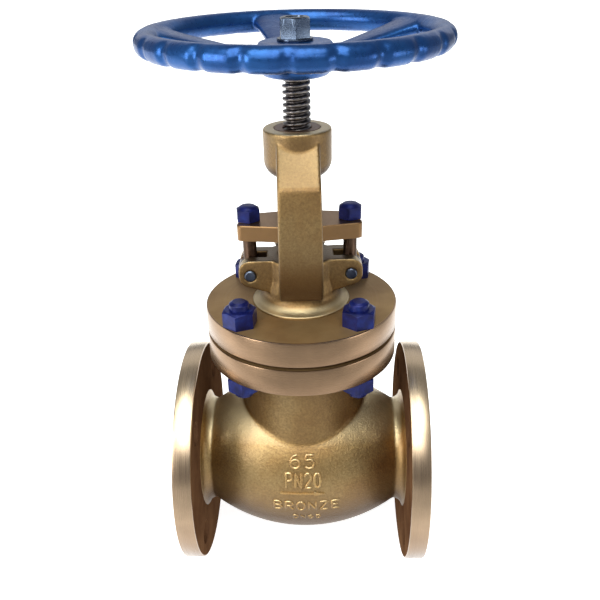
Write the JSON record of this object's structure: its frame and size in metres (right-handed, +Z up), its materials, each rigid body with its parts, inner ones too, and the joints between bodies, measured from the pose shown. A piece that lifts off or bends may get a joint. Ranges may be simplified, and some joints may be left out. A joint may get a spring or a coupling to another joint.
{
  "type": "globe valve",
  "caption": "Flanged globe valve with a bolted bonnet, outside screw and yoke, rising stem and a spoked handwheel that lowers a disc onto a seat.",
  "frame": {"origin": "centre of the inlet flange's face, on the flow axis", "axes": "+X along the flow from inlet to outlet, +Z up along the stem, +Y to the back"},
  "size_m": [0.2083, 0.2084, 0.4318],
  "materials": {
    "cast_bronze": "sand-cast bronze, bead blasted, with machined flange rims",
    "machined_bronze": "turned bronze",
    "gland_bronze": "cast bronze with milled edges",
    "bush_brass": "turned, slightly tarnished",
    "stem_steel": "turned stainless stem with an oiled thread",
    "wheel_paint": "glossy blue enamel over casting",
    "bolt_coating": "royal blue fluoropolymer coating",
    "bright_steel": "bright zinc plating",
    "eyebolt_steel": "dull dark steel",
    "pin_steel": "blued steel",
    "gasket": "dark graphite sheet",
    "packing": "braided graphite yarn"
  },
  "bodies": {
    "valve_frame": {"body_inlet_flange": "cast_bronze", "body_outlet_flange": "cast_bronze", "body_cover_flange": "cast_bronze", "body_neck": "cast_bronze", "body_front_low": "cast_bronze", "body_front_high": "cast_bronze", "body_back_low": "cast_bronze", "body_back_high": "cast_bronze", "body_partition": "cast_bronze", "bonnet_flange": "cast_bronze", "stuffing_box": "cast_bronze", "yoke_arm_front": "cast_bronze", "yoke_arm_back": "cast_bronze", "yoke_hub": "cast_bronze", "seat_ring": "machined_bronze", "bonnet_gasket": "gasket", "backseat_bush": "machined_bronze", "packing_washer": "machined_bronze", "packing_rings": "packing", "yoke_bush": "bush_brass", "bush_set_screw": "bright_steel", "eyebolt_pin_left": "pin_steel", "eyebolt_pin_right": "pin_steel", "bonnet_stud_1": "bolt_coating", "bonnet_stud_2": "bolt_coating", "bonnet_stud_3": "bolt_coating", "bonnet_stud_4": "bolt_coating", "upper_nut_1": "bolt_coating", "upper_nut_2": "bolt_coating", "upper_nut_3": "bolt_coating", "upper_nut_4": "bolt_coating", "lower_nut_1": "bolt_coating", "lower_nut_2": "bolt_coating", "lower_nut_3": "bolt_coating", "lower_nut_4": "bolt_coating"},
    "closure": {"disc": "machined_bronze", "thrust_plate": "bright_steel", "disc_nut": "machined_bronze"},
    "stem_group": {"stem": "stem_steel", "handwheel": "wheel_paint", "wheel_washer": "bright_steel", "wheel_nut": "bright_steel"},
    "gland_group": {"gland_flange": "gland_bronze", "gland_follower": "machined_bronze"},
    "left_bolt": {"eyebolt_left": "eyebolt_steel"},
    "right_bolt": {"eyebolt_right": "eyebolt_steel"},
    "left_nut": {"gland_nut_left": "bolt_coating"},
    "right_nut": {"gland_nut_right": "bolt_coating"}
  },
  "joints": [
    {"name": "stem_lift", "type": "slide", "parent": "valve_frame", "child": "closure", "axis": [0, 0, 1], "range_m": [-0.024, 0]},
    {"name": "handwheel_turn", "type": "hinge", "parent": "closure", "child": "stem_group", "pos_m": [0.09525, 0, 0.33], "axis": [0, 0, 1], "range_deg": [-2040, 0]},
    {"name": "gland_travel", "type": "slide", "parent": "valve_frame", "child": "gland_group", "axis": [0, 0, 1], "range_m": [-0.004, 0], "deforming": ["packing_rings"]},
    {"name": "left_eyebolt_swing", "type": "hinge", "parent": "valve_frame", "child": "left_bolt", "pos_m": [0.0583, -0.00194, 0.166], "axis": [0.0523, -0.9986, 0], "range_deg": [0, 95]},
    {"name": "right_eyebolt_swing", "type": "hinge", "parent": "valve_frame", "child": "right_bolt", "pos_m": [0.1322, 0.00194, 0.166], "axis": [-0.0523, 0.9986, 0], "range_deg": [0, 95]},
    {"name": "left_nut_back_off", "type": "slide", "parent": "left_bolt", "child": "left_nut", "axis": [0, 0, 1], "range_m": [0, 0.0075]},
    {"name": "right_nut_back_off", "type": "slide", "parent": "right_bolt", "child": "right_nut", "axis": [0, 0, 1], "range_m": [0, 0.0075]}
  ],
  "couplings": [
    {"joint": "stem_lift", "follows": "handwheel_turn", "m_per_rad": 0.00067375},
    {"joint": "left_nut_back_off", "follows": "left_eyebolt_swing", "m_per_rad": 0.0045},
    {"joint": "right_nut_back_off", "follows": "right_eyebolt_swing", "m_per_rad": 0.0045}
  ]
}
